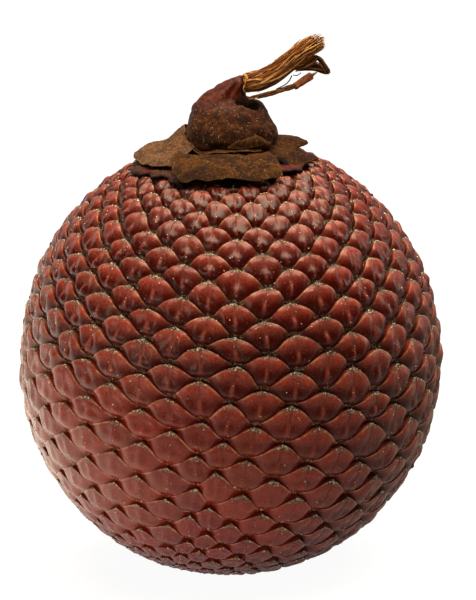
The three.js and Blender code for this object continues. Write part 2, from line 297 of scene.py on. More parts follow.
class ScaleSkin:
    """Builds the closed, scaly surface. Every scale is a grid patch between four nodes of the lattice.

    Vertices on a patch's two lower edges are shared with the feet of the lips that end the scales below it.
    """

    KEYS = ("across", "up", "edge", "pit", "tone", "relief")

    def __init__(self):
        self.latitudes = ring_latitudes()
        self.rings = len(self.latitudes)
        self.jitter = rng.normal(0, 1, (self.rings, COLUMNS, 2)) * (0.08, 0.1)
        self.jitter[0] = self.jitter[-1] = 0
        self.vertices, self.faces, self.shared = [], [], {}
        self.data = {key: [] for key in self.KEYS}
        self.last = len(SCALE_GRID) - 1
        s, t = np.meshgrid(SCALE_GRID, SCALE_GRID, indexing="ij")
        up, across = (s + t) / 2, s - t
        widest = np.maximum(2 * np.minimum(up, 1 - up), 1e-9)
        across = across * (1 - VALLEY_PULL * (1 - np.minimum(1, np.abs(across) / widest)))
        self.s, self.t = up + across / 2, up - across / 2
        self.grains = []

    def add(self, point, across=0.0, up=0.0, edge=0.0, pit=0.0, tone=0.5, relief=1.0):
        self.vertices.append(point)
        for key, value in zip(self.KEYS, (across, up, edge, pit, tone, relief)):
            self.data[key].append(value)
        return len(self.vertices) - 1

    def share(self, key, point, **values):
        if key not in self.shared:
            self.shared[key] = self.add(point, **values)
        return self.shared[key]

    def place(self, ring, column, s, t, over):
        """Points of the patch under the tip at (ring, column), moved along with its four corners."""
        corners = [(ring + 2, column), (ring + 1, (column + 1) % COLUMNS),
                   (ring + 1, (column - 1) % COLUMNS), (ring, column)]
        shares = [(1 - self.s) * (1 - self.t), self.s * (1 - self.t), (1 - self.s) * self.t, self.s * self.t]
        move = sum(share[..., None] * self.jitter[corner] for share, corner in zip(shares, corners))
        latitude = np.interp(ring + 2 - (s + t) + move[..., 1], np.arange(self.rings), self.latitudes)
        longitude = FIRST_COLUMN_ANGLE + (column + s - t + move[..., 0]) * COLUMN_ANGLE
        return body_points(latitude, longitude, over)

    def relief(self, ring, column, s, t):
        """How deep the seams run: 1 around the crown, less towards the base, and least on its -X side."""
        latitude = np.interp(ring + 2 - (s + t), np.arange(self.rings), self.latitudes)
        longitude = np.radians(FIRST_COLUMN_ANGLE + (column + s - t) * COLUMN_ANGLE)
        return 1 - smoothstep(latitude, 18, -28) * (0.46 - 0.36 * np.sin(longitude))

    def patch(self, ring, column):
        s, t, n = self.s, self.t, self.last
        left, right = (column - 1) % COLUMNS, (column + 1) % COLUMNS
        relief = self.relief(ring, column, s, t)
        bow_s, bow_t = s + edge_bend(t, relief), t + edge_bend(s, relief)
        pits = node_pits(s, t, ((0, 0), (1, 0), (0, 1)))
        pit_depth = NODE_PIT * (0.35 + 0.65 * relief)
        level = SEAM_RISE * (1 - relief) - SEAM_DEPTH * relief
        floor = level - pit_depth * pits
        seam = self.place(ring, column, bow_s, bow_t, floor - pit_depth * node_pits(s, t, ((1, 1),)))
        near_axis = np.hypot(seam[..., 0], seam[..., 1]) - LOBE_SHADE * at_the_front(seam[..., 0], seam[..., 1])
        shown = np.where(seam[..., 2] > CENTRE_Z, smoothstep(near_axis, *CALYX_EDGE), 1.0)
        size = np.cos(np.radians(self.latitudes[ring + 1])) ** 0.55
        lumps = 1 + LUMPS * noise(seam.reshape(-1, 3), 1.1, 2).reshape(s.shape)
        latitude = np.interp(ring + 2 - (s + t), np.arange(self.rings), self.latitudes)
        arch = 1 - ARCH * smoothstep(latitude, 22, -15) * smoothstep(np.abs(s - t), 0.04, 0.8)
        height = (SCALE_TOP - level) * size * shown * scale_heights(s, t, scale_look(), relief) * arch * lumps
        lip_s = bow_s + OVERHANG * (s == 1) * t
        lip_t = bow_t + OVERHANG * (t == 1) * s
        top = self.place(ring, column, lip_s, lip_t, height + floor)
        tone = rng.random()
        fading = np.maximum(0.15, 1 - 1.7 * SCALE_GRID)

        def low(i, j, pit=1.0):
            return {"pit": pit * relief[i, j], "tone": tone, "relief": relief[i, j]}

        grid = np.zeros((n + 1, n + 1), int)
        for i in range(n + 1):
            for j in range(n + 1):
                if i and j:
                    grid[i, j] = self.add(
                        top[i, j], s[i, j] - t[i, j], (s[i, j] + t[i, j]) / 2, max(s[i, j], t[i, j]),
                        pits[i, j] * relief[i, j], tone, relief[i, j],
                    )
        for k in range(1, n):
            grid[0, k] = self.share(("up_left", ring + 2, column, k), seam[0, k], up=t[0, k] / 2, **low(0, k, fading[k]))
            grid[k, 0] = self.share(("up_right", ring + 2, column, k), seam[k, 0], up=s[k, 0] / 2, **low(k, 0, fading[k]))
        grid[0, 0] = self.share(("node", ring + 2, column), seam[0, 0], **low(0, 0))
        grid[n, 0] = self.share(("node", ring + 1, right), seam[n, 0], up=0.5, **low(n, 0))
        grid[0, n] = self.share(("node", ring + 1, left), seam[0, n], up=0.5, **low(0, n))
        for i in range(n):
            for j in range(n):
                self.faces.append((grid[i, j], grid[i + 1, j], grid[i + 1, j + 1], grid[i, j + 1]))

        if shown.max() > 0.5:
            self.sprinkle(top)
        foot = self.share(("node", ring, column), seam[n, n], up=1.0, edge=1.0, **low(n, n))
        feet_right, feet_left = [grid[n, 0]], [grid[0, n]]
        for k in range(1, n):
            feet_right.append(self.share(("up_left", ring + 1, right, k), seam[n, k], edge=1.0, **low(n, k, fading[k])))
            feet_left.append(self.share(("up_right", ring + 1, left, k), seam[k, n], edge=1.0, **low(k, n, fading[k])))
        feet_right.append(foot)
        feet_left.append(foot)
        for k in range(n):
            self.faces.append((grid[n, k], feet_right[k], feet_right[k + 1], grid[n, k + 1]))
            self.faces.append((grid[k + 1, n], feet_left[k + 1], feet_left[k], grid[k, n]))

    def sprinkle(self, top):
        """Grains of grit on a scale: most lie on its tip, in its base corner and down its valley."""
        for low, high, spread, count in GRIT_PLACES:
            up = rng.uniform(low, high, count)
            across = rng.normal(0, 1, count) * spread
            i = np.clip((up + across / 2) * self.last, 0, self.last - 0.01)
            j = np.clip((up - across / 2) * self.last, 0, self.last - 0.01)
            a, b = i.astype(int), j.astype(int)
            f, g = (i - a)[:, None], (j - b)[:, None]
            spots = (1 - f) * (1 - g) * top[a, b] + f * (1 - g) * top[a + 1, b]
            spots += (1 - f) * g * top[a, b + 1] + f * g * top[a + 1, b + 1]
            self.grains.append(spots)

    def rim(self, ring, upper):
        """The zigzag of shared vertices that bounds the skin at its upper or lower end."""
        loop = []
        first, steps = ring % 2, range(1, self.last)
        for column in range(first, COLUMNS, 2):
            before, after = (column - 1) % COLUMNS, (column + 1) % COLUMNS
            loop.append(self.shared[("node", ring, column)])
            if upper:
                loop += [self.shared[("up_left", ring + 1, after, k)] for k in reversed(steps)]
                loop.append(self.shared[("node", ring + 1, after)])
                beyond = (column + 2) % COLUMNS
                loop += [self.shared[("up_right", ring + 1, (beyond - 1) % COLUMNS, k)] for k in steps]
            else:
                loop += [self.shared[("up_right", ring, column, k)] for k in steps]
                loop.append(self.shared[("node", ring - 1, after)])
                loop += [self.shared[("up_left", ring, (column + 2) % COLUMNS, k)] for k in reversed(steps)]
        return loop

    def close(self):
        top = self.add(body_points(90.0, 0.0, -SEAM_DEPTH), pit=1.0)
        bottom = self.add(body_points(-90.0, 0.0, -SEAM_DEPTH), pit=1.0)
        upper, lower = self.rim(0, True), self.rim(self.rings - 1, False)
        for here, beyond in zip(upper, upper[1:] + upper[:1]):
            self.faces.append((top, here, beyond))
        for here, beyond in zip(lower, lower[1:] + lower[:1]):
            self.faces.append((bottom, beyond, here))


def without_repeats(face):
    return tuple(corner for k, corner in enumerate(face) if corner != face[k - 1])


def merge_flat_faces(mesh):
    """Merges the faces that lie side by side in the flat spot."""
    work = bmesh.new()
    work.from_mesh(mesh)
    edges = [edge for edge in work.edges if max(vertex.co.z for vertex in edge.verts) < 1e-9]
    inner = [vertex for vertex in work.verts if max(edge.other_vert(vertex).co.z for edge in vertex.link_edges) < 1e-9]
    inner = [vertex for vertex in inner if vertex.co.z < 1e-9]
    bmesh.ops.dissolve_limit(work, angle_limit=math.radians(1), verts=inner, edges=edges)
    work.to_mesh(mesh)
    work.free()


def make_fruit_body():
    """The scaly body, and the places for grit on it."""
    skin = ScaleSkin()
    for ring in range(skin.rings - 2):
        for column in range(ring % 2, COLUMNS, 2):
            skin.patch(ring, column)
    skin.close()
    vertices = np.array(skin.vertices)
    vertices[:, 2] = np.maximum(vertices[:, 2], 0)  # the flat spot
    faces = [face for face in map(without_repeats, skin.faces) if len(face) > 2]
    body = make_mesh("scaly_body", vertices, faces, skin.data, scale_material())
    merge_flat_faces(body.data)
    body.data.set_sharp_from_angle(angle=math.radians(48))
    return body, np.concatenate(skin.grains)


def make_grit(name, spots):
    """Small irregular grains at the given places."""
    spots = spots[spots[:, 2] > 1.5]
    corners = np.array([(1, 0, 0), (-0.5, 0.87, 0), (-0.5, -0.87, 0), (0, 0, 1), (0, 0, -1)])
    sides = np.array([(0, 1, 3), (1, 2, 3), (2, 0, 3), (1, 0, 4), (2, 1, 4), (0, 2, 4)])
    count = len(corners)
    sizes = rng.uniform(*GRIT_SIZES, (len(spots), 1, 1)) * rng.uniform(0.7, 1.4, (len(spots), count, 1))
    turns = np.linalg.qr(rng.normal(size=(len(spots), 3, 3)))[0]
    turns *= np.sign(np.linalg.det(turns))[:, None, None]
    grains = spots[:, None] + (corners * sizes) @ turns
    faces = (sides + count * np.arange(len(spots))[:, None, None]).reshape(-1, 3)
    tone = np.repeat(rng.random(len(spots)), count)
    return make_mesh(name, grains.reshape(-1, 3), faces, {"tone": tone}, grit_material())


# ------------------------------------------------------------------------------------------ calyx
def torn_sheet(name, net, material, thickness=0.3, tear=(0, 0.05, 0.04, 0.04), crumple=(), rows=56, columns=120):
    """A thin closed sheet through a net of points, whose rows run from its inner edge to its outer one.

    tear gives how far its inner, outer, first and last edges are torn in, as shares of its size.
    """
    dense = refine(refine(net, 160).swapaxes(0, 1), 320).swapaxes(0, 1)
    high_v, high_u = dense.shape[0] - 1, dense.shape[1] - 1

    def torn(edge, amount):
        return amount * np.clip(0.5 + 0.7 * noise(edge, 0.9, 4), 0, 1.3)

    inner, outer = torn(dense[0], tear[0]), torn(dense[-1], tear[1])
    first, last = torn(dense[:, 0], tear[2]), torn(dense[:, -1], tear[3])
    share_u, share_v = np.meshgrid(np.linspace(0, 1, columns), np.linspace(0, 1, rows))
    whole_u, whole_v = (share_u * high_u).astype(int), (share_v * high_v).astype(int)
    v = (inner[whole_u] + (1 - inner[whole_u] - outer[whole_u]) * share_v) * high_v
    u = (first[whole_v] + (1 - first[whole_v] - last[whole_v]) * share_u) * high_u
    i, j = np.minimum(v.astype(int), high_v - 1), np.minimum(u.astype(int), high_u - 1)
    f, g = (v - i)[..., None], (u - j)[..., None]
    top = (1 - f) * (1 - g) * dense[i, j] + f * (1 - g) * dense[i + 1, j]
    top = top + (1 - f) * g * dense[i, j + 1] + f * g * dense[i + 1, j + 1]

    normals = grid_normals(top)
    if normals[..., 2].mean() < 0:
        normals = -normals
    length = np.linalg.norm(np.diff(dense, axis=0), axis=-1).sum(0).mean()
    width = np.linalg.norm(np.diff(dense, axis=1), axis=-1).sum(1).mean()
    sides = (share_v * length, (1 - share_v) * length, share_u * width, (1 - share_u) * width)
    inside = np.minimum.reduce(sides)
    top = crumpled(top, normals, crumple)
    under = top - normals * (thickness * (0.3 + 0.7 * smoothstep(inside, 0, 0.6)))[..., None]

    count = rows * columns
    index = np.arange(count).reshape(rows, columns)
    loop = list(index[0]) + list(index[1:, -1]) + list(index[-1, -2::-1]) + list(index[-2:0:-1, 0])
    faces = grid_faces(rows, columns) + [face[::-1] for face in grid_faces(rows, columns, count)]
    faces += [(a, a + count, b + count, b) for a, b in zip(loop, loop[1:] + loop[:1])]
    vertices = np.concatenate([top.reshape(-1, 3), under.reshape(-1, 3)])
    rim = 1 - smoothstep(inside, 0, 0.3).ravel()
    data = {"rim": np.concatenate([rim, rim]), "under": np.repeat([0.0, 1.0], count)}
    return make_mesh(name, vertices, faces, data, material, recalculate=True)


def around(angles, distances, heights, centre=0.0):
    """A row of a net: points at angles in degrees and distances around (centre, 0), at given heights."""
    angles = np.radians(angles)
    return np.stack([centre + distances * np.cos(angles), distances * np.sin(angles), np.asarray(heights)], -1)


def make_disc():
    """The thin disc under the lobes. Its ragged rim stands out of the crown's hollow."""
    angles = np.arange(0, 360, 2)
    outs = np.array([0.3, 2, 4, 6, 7.5, 8.6, 9.4, 10, 10.4, 10.7, 10.95, 11.15, 11.3])
    angle, out = np.meshgrid(np.radians(angles), outs)
    circle = np.stack([np.cos(angle[0]), np.sin(angle[0]), 0 * angle[0]], -1) * 4
    front = at_the_front(np.cos(angle), np.sin(angle))
    ragged = 1 + (out / 11.3) ** 6 * (0.07 * noise(circle, 0.6, 5)[None] - 0.07 + 0.06 * front)
    x, y = out * ragged * np.cos(angle), out * ragged * np.sin(angle)
    flat = np.stack([x, y, 0 * x], -1)
    wavy = 0.12 * noise(flat, 1.6, 3) * smoothstep(out, 6, 9)
    rim = smoothstep(out, 10.6, 11.3)
    top = np.stack([x, y, crown_height(x, y, 0.22) + wavy - 0.08 * rim], -1)
    under = np.stack([x, y, crown_height(x, y, -0.18) + 0.12 * rim + np.minimum(wavy, 0.1)], -1)
    rows, columns = x.shape
    count = rows * columns
    faces = grid_faces(rows, columns, 0, True) + grid_faces(rows, columns, count, True)
    faces += [list(range(columns)), list(range(count, count + columns))]
    for j in range(columns):
        a, b = count - columns + j, count - columns + (j + 1) % columns
        faces.append([a, b, b + count, a + count])
    data = {"rim": np.concatenate([rim.ravel(), rim.ravel()])}
    vertices = np.concatenate([top.reshape(-1, 3), under.reshape(-1, 3)])
    return make_mesh("perianth_disc_looks", vertices, faces, data, disc_material(), recalculate=True)


LOBE_CRUMPLE = ((2.6, 0.16), (0.9, 0.09), (0.3, 0.035))


def make_front_lobe():
    inner = np.array([(-5.3, -5.4, 51.7), (-4.3, -5.5, 51.35), (-3, -5.6, 51.25), (-1.4, -5.6, 51.25), (0.6, -5.7, 51.3),
                      (2.0, -5.6, 51.3), (3.3, -5.5, 51.25), (4.5, -5.1, 51.2), (5.5, -4.6, 51.15)])
    outer = np.array([(-5.1, -11.0, 49.4), (-4.3, -11.3, 49.2), (-3.1, -11.4, 49.7), (-1.5, -11.8, 49.4), (0.7, -11.9, 49.7),
                      (2.3, -11.9, 49.5), (3.8, -11.8, 49.2), (5.5, -11.1, 49.25), (7.0, -10.2, 49.3)])
    lift = np.array([0.75, 0.4, 0.45, 0.5, 0.55, 0.5, 0.4, 0.4, 0.35])
    spread = np.array([-0.95, -0.4, 0, 0, 0, 0, 0, 0.1, 0.2])
    net = []
    for share in (0, 0.25, 0.5, 0.75, 0.93, 1):
        row = inner + share * (outer - inner)
        dome = 4 * share * (1 - share)
        row[:, 0] += dome * spread
        row[:, 1] -= 0.35 * dome
        row[:, 2] += dome * lift
        net.append(row)
    return torn_sheet("front_lobe_looks", net, husk_material("front_husk", 0.58), 0.34, (0, 0.05, 0.03, 0.03), LOBE_CRUMPLE)


def make_left_lobe():
    """The left lobe climbs up the cup's side from a spoon-shaped tip."""
    angles = (100, 128, 152, 174, 196, 214, 228)
    net = [
        around(angles, (5.2, 4.8, 4.55, 4.4, 4.45, 4.6, 4.75), (51.7, 52.5, 53.3, 53.8, 53.3, 52.4, 51.7)),
        around(angles, (6.2, 6.0, 5.9, 5.75, 5.8, 6.0, 6.3), (51.2, 51.7, 52.3, 52.6, 52.2, 51.7, 51.2)),
        around(angles, (7.6, 7.6, 7.4, 7.3, 7.3, 7.4, 7.5), (50.7, 51.1, 51.3, 51.4, 51.2, 50.9, 50.8)),
        around(angles, (8.8, 9.2, 9.4, 9.4, 9.2, 8.9, 8.4), (50.2, 50.7, 51.0, 51.0, 50.8, 50.6, 50.5)),
        around(angles, (9.4, 10.2, 10.6, 10.7, 10.4, 9.8, 8.9), (49.8, 49.9, 50.0, 50.1, 50.1, 50.1, 50.1)),
    ]
    return torn_sheet("left_lobe_looks", net, husk_material("left_husk", 0.9, pale=0.3), 0.34, (0, 0.05, 0.03, 0.03), LOBE_CRUMPLE)


def make_right_lobe():
    """The right lobe has a notch near its front end, with a finger in front of it."""
    angles = (-41, -32, -22, -14, -9, -6, -3, 1, 6, 20, 46, 78)
    net = [
        around(angles, (5.9, 5.9, 5.95, 6.0, 6.0, 6.0, 6.0, 6.0, 6.0, 5.9, 5.7, 5.3),
               (50.9, 51.1, 51.2, 51.3, 51.4, 51.4, 51.5, 51.5, 51.6, 51.7, 51.5, 51.2)),
        around(angles, (7.7, 7.9, 8.1, 8.2, 8.3, 8.2, 8.1, 8.2, 8.2, 8.2, 8.0, 7.4),
               (50.5, 50.7, 50.8, 50.8, 50.8, 50.9, 51.0, 51.2, 51.3, 51.35, 51.0, 50.6)),
        around(angles, (8.8, 9.3, 9.6, 9.9, 10.1, 9.0, 8.6, 9.0, 9.3, 9.3, 9.3, 8.8),
               (50.0, 50.1, 50.0, 50.0, 50.0, 50.2, 50.6, 51.0, 51.1, 51.2, 50.5, 50.1)),
        around(angles, (9.6, 10.3, 10.6, 11.0, 11.35, 9.6, 8.9, 9.7, 10.2, 10.0, 10.3, 9.6),
               (49.5, 49.45, 49.45, 49.45, 49.5, 49.9, 50.4, 50.7, 50.8, 50.8, 50.0, 49.8)),
    ]
    return torn_sheet("right_lobe_looks", net, husk_material("right_husk", 0.56, (6.8, -5.8, 50.5)), 0.3, (0, 0.03, 0.05, 0.03), LOBE_CRUMPLE, columns=200)


def make_collar():
    """The torn ridge between the cup and the front lobe."""
    angles = (-140, -128, -112, -96, -80, -66, -54)
    net = [
        around(angles, 5.2 + np.zeros(7), (51.6, 51.35, 51.55, 51.6, 51.6, 51.5, 51.35), 1.05),
        around(angles, 5.8 + np.zeros(7), (51.6, 51.3, 51.55, 51.65, 51.65, 51.5, 51.3), 1.05),
        around(angles, (6.0, 6.3, 6.45, 6.5, 6.5, 6.3, 5.9), (51.5, 51.15, 51.4, 51.6, 51.6, 51.35, 51.2), 1.05),
    ]
    return torn_sheet("collar_looks", net, husk_material("collar_husk", 0.62), 0.3, (0, 0.25, 0.02, 0.02),
                      ((1.5, 0.1), (0.5, 0.06)), rows=20, columns=120)


# The cup's sections from its underside up: height, how far its middle lies to +X, and its radius.
CUP_SECTIONS = (
    (51.35, 1.15, 0.3), (51.35, 1.15, 3.0), (51.35, 1.2, 4.7), (51.5, 1.2, 5.15), (51.9, 1.2, 5.42), (52.5, 1.1, 5.5),
    (53.3, 0.95, 5.25), (54.4, 0.8, 4.75), (55.1, 0.78, 4.45), (55.8, 0.65, 4.05), (56.15, 0.5, 3.65), (56.4, 0.3, 3.15),
    (56.65, 0.15, 2.7), (57.2, 0.42, 2.35), (57.85, 1.08, 1.87), (58.4, 1.5, 1.45), (58.9, 1.9, 0.98), (59.2, 2.2, 0.55),
    (59.36, 2.4, 0.22),
)


def make_cup():
    """The leathery hat-shaped cup, drawn up into a horn that leans to +X."""
    rows, columns = 150, 180
    height, lean, radius = refine(CUP_SECTIONS, rows).T
    angles = np.linspace(0, 2 * np.pi, columns, endpoint=False)
    depth = radius * (1 - 0.2 * smoothstep(height, 55.5, 57.5))
    grid = np.stack([
        lean[:, None] + radius[:, None] * np.cos(angles),
        depth[:, None] * np.sin(angles),
        np.repeat(height[:, None], columns, 1),
    ], -1)
    wrapped = np.concatenate([grid[:, -1:], grid, grid[:, :1]], 1)
    normals = -grid_normals(wrapped)[:, 1:-1]
    if (normals[60] * (grid[60] - grid[60].mean(0))).sum() < 0:
        normals = -normals

    horn = smoothstep(grid[..., 2], 55.5, 57.2) * (1 - smoothstep(grid[..., 2], 57.8, 59.2))
    wrinkles = np.cos(7 * angles[None] + 0.9 * grid[..., 2] + 2 * noise(grid, 3, 2))
    push = 0.13 * horn * wrinkles
    skirt = 1 - smoothstep(grid[..., 2], 51.8, 53.5)
    push += 0.16 * skirt * noise(grid * (1, 1, 0.3), 1.6, 2)
    push += 0.24 * noise(grid, 3.2, 2) * smoothstep(radius, 1.2, 3)[:, None] + 0.07 * noise(grid, 0.9, 2)
    push += 0.035 * noise(grid, 0.35, 2)
    push -= 0.32 * near_line(grid, [(4.0, -4.5, 53.4), (4.6, -4.1, 52.8), (5.1, -3.6, 52.3)], 0.3)
    push += 0.34 * near_line(grid, [(5.2, -3.3, 53.5), (5.5, -3.0, 52.5), (5.3, -3.3, 51.6)], 0.45)
    push -= 0.22 * near_line(grid, [(5.9, -2.2, 53.2), (6.0, -2.3, 52.3), (5.9, -2.4, 51.5)], 0.3)
    push += 0.2 * near_line(grid, [(-4.2, -1.6, 53.4), (-4.2, -1.6, 52.5), (-3.7, -2.9, 51.8), (-1.6, -5, 51.8)], 0.4)
    push += 0.25 * near_line(grid, [(2.5, -1.0, 58.8), (2.4, -1.3, 57.9), (2.2, -1.8, 56.9), (2.4, -3.2, 56.2)], 0.4)
    push -= 0.22 * near_line(grid, [(1.7, -1.5, 58.2), (1.4, -2.1, 57.1), (1.5, -2.6, 56.3)], 0.3)
    push += 0.14 * near_line(grid, [(0.7, -1.4, 58.7), (-0.3, -1.8, 57.6), (-0.8, -2.4, 56.2)], 0.35)
    grid = grid + normals * push[..., None]
    hole = near_line(grid, [(2.7, -1.6, 56.5), (3.6, -1.5, 56.3)], 0.8)
    grid[..., 2] -= 1.7 * hole
    grid[..., 0] -= 0.25 * hole

    count = rows * columns
    faces = grid_faces(rows, columns, 0, True) + [list(range(columns)), list(range(count - columns, count))]
    data = {
        "horn": smoothstep(grid[..., 2], 55.0, 57.6),
        "rim": 1 - smoothstep(grid[..., 2] + 0.3 * noise(grid, 1, 2), 51.5, 52.2),
        "hole": hole,
    }
    return make_mesh("calyx_cup_looks", grid.reshape(-1, 3), faces, data, cup_material(), recalculate=True)


def make_flap():
    """A small loose flap low on the cup's front right."""
    upper = [(0.6, -5.75, 52.05), (1.8, -5.7, 52.75), (3.0, -5.3, 52.95), (4.1, -4.7, 53.1), (5.0, -4.1, 52.45)]
    middle = [(0.6, -5.85, 51.98), (1.8, -5.95, 52.3), (3.1, -5.65, 52.4), (4.2, -5.1, 52.45), (5.15, -4.3, 52.25)]
    lower = [(0.6, -5.9, 51.9), (1.8, -6.0, 51.85), (3.1, -5.7, 51.8), (4.2, -5.1, 51.85), (5.2, -4.35, 52.05)]
    return torn_sheet("fold_flap_looks", [upper, middle, lower], husk_material("flap_husk", 0.6), 0.26,
                      (0.03, 0.08, 0.02, 0.03), ((0.9, 0.07), (0.3, 0.03)), rows=30, columns=70)


# ------------------------------------------------------------------------------------------ stalk fibres
def make_strands(name, strands, material, sides=7):
    """One mesh of closed strands. Each is (points, radii, tone, flatness)."""
    vertices, faces, tones, alongs = [], [], [], []
    turn = np.linspace(0, 2 * np.pi, sides, endpoint=False)
    for points, radii, tone, flatness in strands:
        points = np.asarray(points, float)
        radii = np.broadcast_to(radii, len(points))
        tangent = np.gradient(points, axis=0)
        tangent /= np.linalg.norm(tangent, axis=-1, keepdims=True)
        up = np.cross(tangent, (0.05, 1.0, 0.1))
        up /= np.linalg.norm(up, axis=-1, keepdims=True)
        side = np.cross(up, tangent)
        ring = np.cos(turn)[None, :, None] * up[:, None] * flatness + np.sin(turn)[None, :, None] * side[:, None]
        start = len(vertices)
        vertices.extend((points[:, None] + radii[:, None, None] * ring).reshape(-1, 3))
        count = len(points) * sides
        faces += grid_faces(len(points), sides, start, True)
        faces += [list(range(start, start + sides)), list(range(start + count - sides, start + count))]
        tones += [tone] * count
        alongs.extend(np.repeat(np.linspace(0, 1, len(points)), sides))
    return make_mesh(name, vertices, faces, {"tone": tones, "along": alongs}, material, recalculate=True)


def tapered(count, radius, start=0.5, end=0.3):
    """Radii of a strand that thins towards both ends."""
    share = np.linspace(0, 1, count)
    return radius * (start + (1 - start) * smoothstep(share, 0, 0.15)) * (end + (1 - end) * smoothstep(1 - share, 0, 0.12))


BUNDLE_ROUTE = ((2.75, 0, 58.5), (4.0, 0, 58.6), (5.1, 0, 58.85), (6.6, -0.1, 59.6), (8.1, -0.2, 60.75),
                (9.5, -0.3, 61.8), (10.9, -0.3, 62.75), (12.3, -0.2, 63.6), (13.6, -0.2, 64.3))
BUNDLE_RADII = (1.1, 1.2, 1.2, 1.12, 1.1, 1.1, 1.16, 1.22, 1.25)
BUNDLE_END = 12.75  # how far to +X its strands reach


def make_bundle():
    """The frayed fibres that the horn holds: a dark core with strands laid along it."""
    steps = 48
    route, reach = refine(BUNDLE_ROUTE, steps), refine(BUNDLE_RADII, steps)
    tangent = np.gradient(route, axis=0)
    tangent /= np.linalg.norm(tangent, axis=-1, keepdims=True)
    side = np.tile((0.0, 1.0, 0.0), (steps, 1))
    up = np.cross(tangent, side)
    up /= np.linalg.norm(up, axis=-1, keepdims=True)
    share = np.linspace(0, 1, steps)

    core = reach * 0.72 * (0.6 + 0.4 * smoothstep(share, 0, 0.1))
    strands = [(route[:36], core[:36], 0.0, 1.0)]
    for k in range(170):
        angle = 2 * np.pi * k / 170 * 3 + rng.normal(0, 0.1)
        radius = rng.uniform(0.05, 0.12) if k % 4 else rng.uniform(0.12, 0.2)
        ring = rng.uniform(0.74, 1.04)
        drift = rng.normal(0, 0.5) * share + 0.25 * np.sin(2 * np.pi * rng.uniform(0.6, 1.8) * share + rng.uniform(0, 6))
        wave = 1 + 0.07 * np.sin(2 * np.pi * rng.uniform(1, 4) * share + rng.uniform(0, 6))
        out = (reach - radius) * ring * wave
        first, last = rng.integers(0, 3), steps
        if rng.random() < 0.14:
            last = rng.integers(steps // 2, steps - 10)
            out = out + 0.3 * smoothstep(share, last / steps - 0.15, last / steps)
        turn = angle + drift
        path = route + out[:, None] * (np.cos(turn)[:, None] * side + np.sin(turn)[:, None] * up)
        path = cut_ragged(path[first:last])
        strands.append((path, tapered(len(path), radius), rng.uniform(0.1, 1), rng.uniform(0.6, 1.0)))
    for k in range(10):  # ends that curl round the horn's mouth
        turn = np.linspace(0, rng.uniform(0.8, 1.6), 14) + rng.uniform(1.2, 5.0)
        place = route[rng.integers(1, 4)]
        ring = np.stack([0.15 * np.sin(3 * turn), np.cos(turn), np.sin(turn)], -1) * rng.uniform(1.08, 1.2)
        strands.append((place + ring, tapered(14, rng.uniform(0.07, 0.12)), rng.uniform(0.3, 1), 0.8))
    for k in range(26):  # fine hairs that stand off the bundle
        i = rng.integers(1, steps - 18)
        turn = rng.uniform(0, 2 * np.pi)
        away = np.cos(turn) * side[i] + np.sin(turn) * up[i]
        length = rng.uniform(0.5, 1.2)
        reach_out = np.linspace(0, 1, 8)[:, None]
        path = route[i] + reach[i] * 0.95 * away + length * reach_out * tangent[i] + 0.35 * reach_out**2 * away
        strands.append((path, tapered(8, 0.03), rng.uniform(0.3, 0.9), 1.0))
    return make_strands("stalk_fibres_looks", strands, fibre_material("golden_fibre", 1.0), 6)


FIBRE_TOP = node_box("stalk_fibres")[1][2]


def cut_ragged(path):
    """A strand's points up to a ragged end, inside the size of the part."""
    over = np.maximum(path[:, 2] - FIBRE_TOP, path[:, 0] - BUNDLE_END)
    kept = max(6, int((over < -0.18 - rng.exponential(0.22)).sum()))
    return path[:kept]


def bent(points, count=24, wobble=0.04):
    """A wobbly route through the given points."""
    route = refine(points, count)
    shift = rng.uniform(0, 20, 3)
    return route + wobble * np.stack([noise(route + shift + k, 0.8, 2) for k in range(3)], -1)


def make_side_strand():
    """A torn-off strand hooked over itself under the bundle: dark skin with fibres in it."""
    lines = [
        ([(8.9, -0.5, 60.0), (9.7, -0.5, 60.2), (10.5, -0.4, 60.6), (11.1, -0.4, 61.0), (11.55, -0.3, 61.35)], 0.2, 12),
        ([(11.4, -0.3, 61.25), (11.85, -0.3, 60.95), (12.15, -0.3, 60.5), (12.5, -0.4, 59.9), (12.8, -0.4, 59.4)], 0.22, 12),
        ([(9.2, -0.5, 59.9), (10.4, -0.5, 60.0), (11.3, -0.5, 59.85), (12.2, -0.5, 59.5), (12.7, -0.5, 59.4)], 0.17, 8),
        ([(9.3, -0.6, 59.9), (10.4, -0.7, 60.3), (11.3, -0.7, 60.7), (12.0, -0.7, 60.1), (12.35, -0.6, 59.3)], 0.11, 5),
        ([(10.2, -0.4, 60.1), (10.9, -0.4, 60.3), (11.4, -0.4, 60.1), (12.1, -0.4, 59.8)], 0.17, 6),
    ]
    strands = []
    for points, radius, copies in lines:
        for k in range(copies):
            shift = rng.normal(0, 0.13, 3)
            tone = rng.uniform(0.0, 0.35) if k % 3 else rng.uniform(0.5, 1.0)
            path = bent(np.array(points) + shift, 24, 0.07)
            strands.append((path, tapered(24, radius * rng.uniform(0.5, 1.1)), tone, rng.uniform(0.5, 1)))
    strands.append((bent([(8.6, -0.6, 59.3), (9.1, -0.6, 59.25), (9.55, -0.5, 59.5)], 12), 0.06, 0.1, 1.0))
    return make_strands("side_strand_looks", strands, fibre_material("dark_fibre", 0.7))


def make_lower_strand():
    """The thin strand that leaves the cup's top and carries the flake."""
    base = [(3.2, -1, 56.7), (4.2, -1, 56.95), (5.0, -1, 57.1), (6.4, -1, 57.42), (7.8, -1, 57.82), (8.9, -1, 58.08)]
    strands = []
    for k in range(18):
        shift = rng.normal(0, 0.1, 3)
        first = rng.integers(0, 3)
        path = bent(np.array(base[first:]) + shift, 34, 0.09)
        radii = tapered(34, rng.uniform(0.07, 0.14)) * np.linspace(0.7, 1.2, 34)
        strands.append((path, radii, rng.uniform(0.1, 0.9), rng.uniform(0.6, 1)))
    return make_strands("lower_strand_looks", strands, fibre_material("grey_fibre", 0.8))


